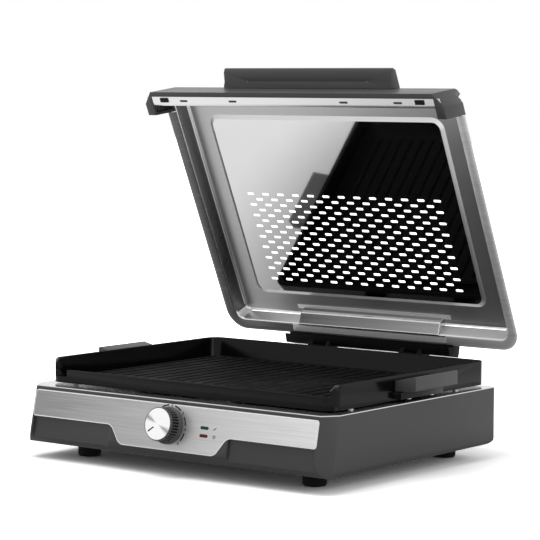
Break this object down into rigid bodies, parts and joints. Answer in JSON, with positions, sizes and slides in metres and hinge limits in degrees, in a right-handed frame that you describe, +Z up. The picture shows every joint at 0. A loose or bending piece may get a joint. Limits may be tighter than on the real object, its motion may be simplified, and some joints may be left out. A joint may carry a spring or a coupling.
{
  "type": "electric indoor grill with hinged lid",
  "caption": "Countertop electric grill: low plastic base with knob and lamps, lift-off ribbed cast plate and a vented steel lid that swings up on a rear hinge.",
  "frame": {"origin": "on the table plane under the middle of the box of the whole part, with the lid at its open rest place", "axes": "+Z up; +X to the right as the user faces the knob; -Y towards the user, where the control panel and knob are; the lid hinges at +Y"},
  "size_m": [0.426, 0.3894, 0.416],
  "materials": {
    "housing_plastic": "fine satin grain",
    "trim_plastic": "fine satin grain",
    "grip_plastic": "fine satin grain",
    "hinge_black": "satin black",
    "cover_steel": "satin black",
    "bracket_steel": "satin black",
    "brushed_steel": "long horizontal brushing",
    "lid_steel": "satin rim with a mirror polished middle",
    "bright_steel": "polished",
    "tray_steel": "bright",
    "cast_black": "black non-stick coating",
    "foot_rubber": "matte",
    "knob_plastic": "satin",
    "knob_metal": "spun disc",
    "screw_steel": "plain zinc",
    "lens_green": "glossy, clear tint",
    "lens_red": "glossy, clear tint",
    "holder_white": "matte",
    "ceramic": "matte",
    "copper": "plain",
    "tube_steel": "dull dark sheath",
    "wire_red": "satin",
    "brass": "plain",
    "gland_rubber": "matte"
  },
  "bodies": {
    "base": {"base_housing": "housing_plastic", "bottom_cover": "cover_steel", "bottom_screws": "screw_steel", "feet": "foot_rubber", "control_panel": "brushed_steel", "lamp_lens_green": "lens_green", "lamp_lens_red": "lens_red", "lamp_holders": "holder_white", "thermostat_body": "ceramic", "thermostat_screws": "screw_steel", "thermostat_bulb": "copper", "reflector_tray": "tray_steel", "tray_screws": "screw_steel", "heating_element": "tube_steel", "element_supports": "tray_steel", "terminal_block": "holder_white", "inner_wires": "wire_red", "earth_screw": "brass", "cord_gland": "gland_rubber", "hinge_brackets": "bracket_steel", "hinge_bracket_screws": "screw_steel", "hinge_pins": "bright_steel"},
    "knob": {"thermostat_shaft": "bright_steel", "knob_body": "knob_plastic", "knob_cap": "knob_metal"},
    "plate": {"grill_plate": "cast_black", "plate_handle_left": "grip_plastic", "plate_handle_right": "grip_plastic", "plate_handle_screws": "screw_steel"},
    "lid": {"lid_shell": "lid_steel", "lid_pocket_cover": "bright_steel", "lid_front_trim": "trim_plastic", "lid_bumpers": "foot_rubber", "lid_handle": "grip_plastic", "lid_handle_screws": "screw_steel", "lid_hinge_bar": "hinge_black", "hinge_bar_screws": "screw_steel", "hinge_washers": "brass"}
  },
  "joints": [
    {"name": "lid_hinge", "type": "hinge", "parent": "base", "child": "lid", "pos_m": [0, 0.16714, 0.0874], "axis": [-1, 0, 0], "range_deg": [-65.2, 20]},
    {"name": "knob_turn", "type": "hinge", "parent": "base", "child": "knob", "pos_m": [0, -0.17358, 0.05146], "axis": [0, 0.9781, -0.2079], "range_deg": [0, 270]},
    {"name": "plate_lift", "type": "slide", "parent": "base", "child": "plate", "axis": [0, 0, 1], "range_m": [0, 0.06]}
  ]
}
